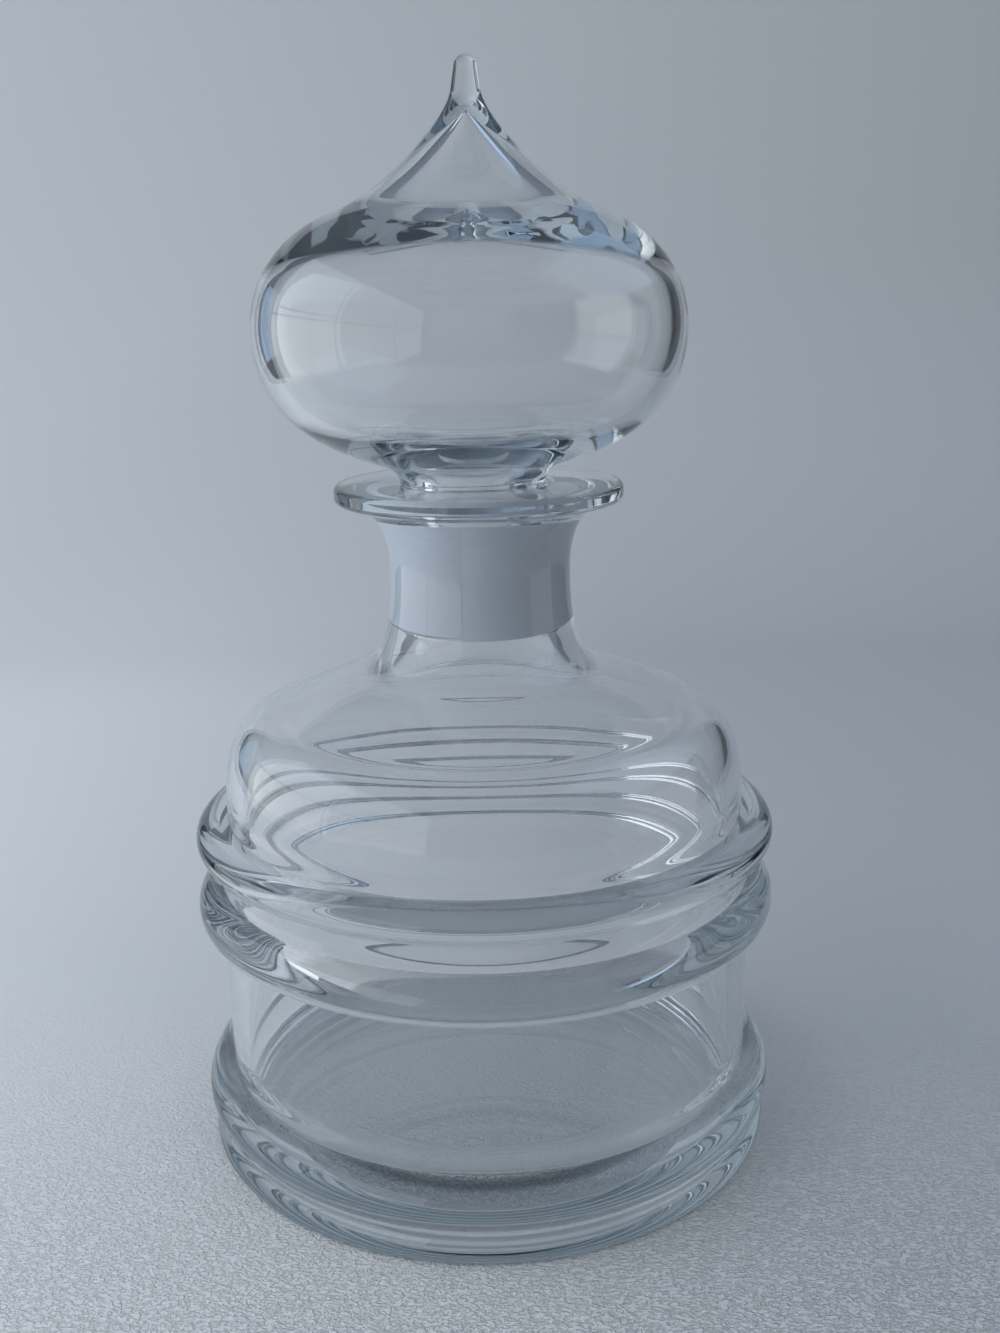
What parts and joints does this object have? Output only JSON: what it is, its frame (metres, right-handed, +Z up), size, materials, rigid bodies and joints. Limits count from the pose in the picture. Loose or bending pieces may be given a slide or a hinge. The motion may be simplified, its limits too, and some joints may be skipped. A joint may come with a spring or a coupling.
{
  "type": "stoppered decanter",
  "caption": "Clear glass decanter with a ringed round body, domed shoulder, waisted neck with a flat lip, and a hollow onion-shaped ground stopper that lifts out.",
  "frame": {"origin": "on the table, at the middle of the bottle's round foot", "axes": "+Z up along the bottle's axis, towards the stopper's tip; the stopper's head sits slightly towards -X"},
  "size_m": [0.128, 0.128, 0.2296],
  "materials": {
    "bottle_glass": "clear polished blown glass, ground matt inside the neck",
    "stopper_glass": "clear polished blown glass, ground matt on the tapered plug"
  },
  "bodies": {
    "bottle": {"bottle": "bottle_glass"},
    "stopper": {"stopper": "stopper_glass"}
  },
  "joints": [
    {"name": "stopper_lift", "type": "slide", "parent": "bottle", "child": "stopper", "axis": [0, 0, 1], "range_m": [0, 0.06]}
  ]
}
